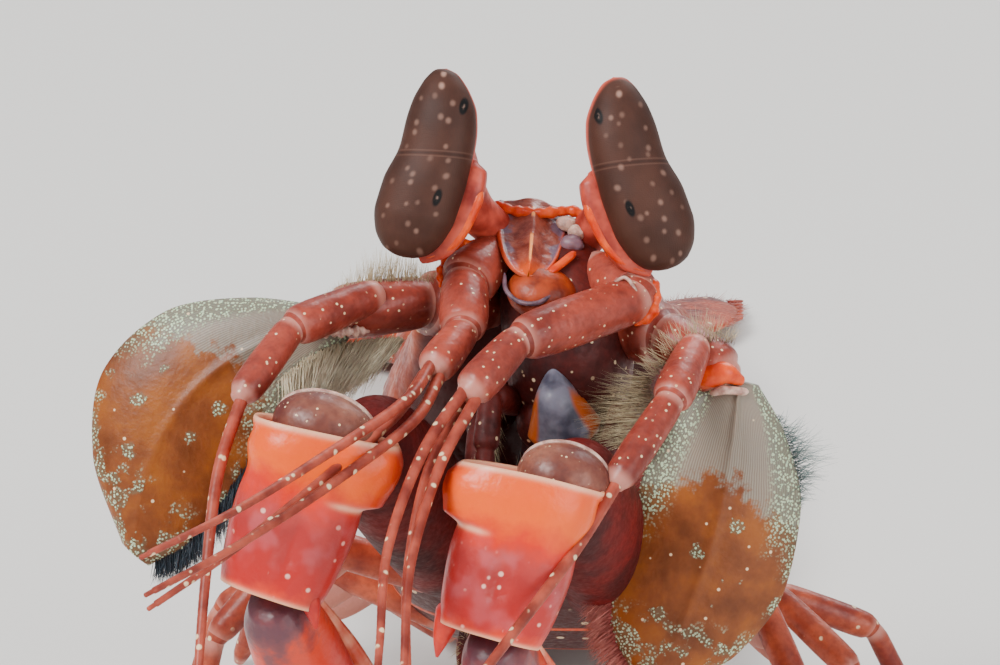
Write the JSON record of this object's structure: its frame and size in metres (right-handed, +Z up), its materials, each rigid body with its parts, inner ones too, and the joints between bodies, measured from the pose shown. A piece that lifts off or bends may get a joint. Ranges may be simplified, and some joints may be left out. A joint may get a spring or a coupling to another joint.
{
  "type": "mantis shrimp",
  "caption": "Life-size mantis shrimp with the front of its body reared up, claws folded before the chest, antennal scales spread, and its abdomen and tail fan on the ground.",
  "frame": {"origin": "the point on the ground under the middle of the model's bounding box", "axes": "+Z up; the head faces -Y, the animal's left side is at +X, and the body runs back along +Y, turning a little towards -X"},
  "size_m": [0.088, 0.1811, 0.0674],
  "materials": {
    "shell": "wet shell, red-brown with orange edges",
    "limb": "wet thin shell, pink-red with pale dots",
    "claw": "wet shell, orange above and pink below",
    "cornea": "smooth dark cornea with pale dots",
    "scale": "thin amber plate with pale green grains"
  },
  "bodies": {
    "root": {"rostral_plate": "shell", "carapace": "shell", "thorax_6": "shell", "thorax_7": "shell", "thorax_8": "shell", "abdomen_1": "shell", "abdomen_2": "shell", "abdomen_3": "shell", "abdomen_4": "shell", "abdomen_5": "shell", "abdomen_6": "shell", "telson": "shell", "uropod_right": "shell", "uropod_left": "shell", "mouth": "limb", "head": "limb", "eye_right": "cornea", "eyestalk_right": "limb", "eye_left": "cornea", "eyestalk_left": "limb", "antennule_right": "limb", "antennule_right_feeler_1": "limb", "antennule_right_feeler_2": "limb", "antennule_right_feeler_3": "limb", "antennule_left": "limb", "antennule_left_feeler_1": "limb", "antennule_left_feeler_2": "limb", "antennule_left_feeler_3": "limb", "antenna_base_right": "limb", "antennal_scale_right": "scale", "antenna_stem_right": "limb", "antenna_feeler_right": "limb", "antenna_base_left": "limb", "antennal_scale_left": "scale", "antenna_stem_left": "limb", "antenna_feeler_left": "limb", "maxilliped_1_right": "limb", "maxilliped_1_left": "limb", "claw_carpus_right": "claw", "claw_propodus_right": "claw", "claw_merus_right": "claw", "claw_finger_right": "claw", "claw_carpus_left": "claw", "claw_propodus_left": "claw", "claw_merus_left": "claw", "claw_finger_left": "claw", "maxilliped_3_right": "limb", "maxilliped_4_right": "limb", "maxilliped_5_right": "limb", "maxilliped_3_left": "limb", "maxilliped_4_left": "limb", "maxilliped_5_left": "limb", "leg_1_right": "limb", "leg_2_right": "limb", "leg_3_right": "limb", "leg_1_left": "limb", "leg_2_left": "limb", "leg_3_left": "limb"}
  },
  "joints": []
}
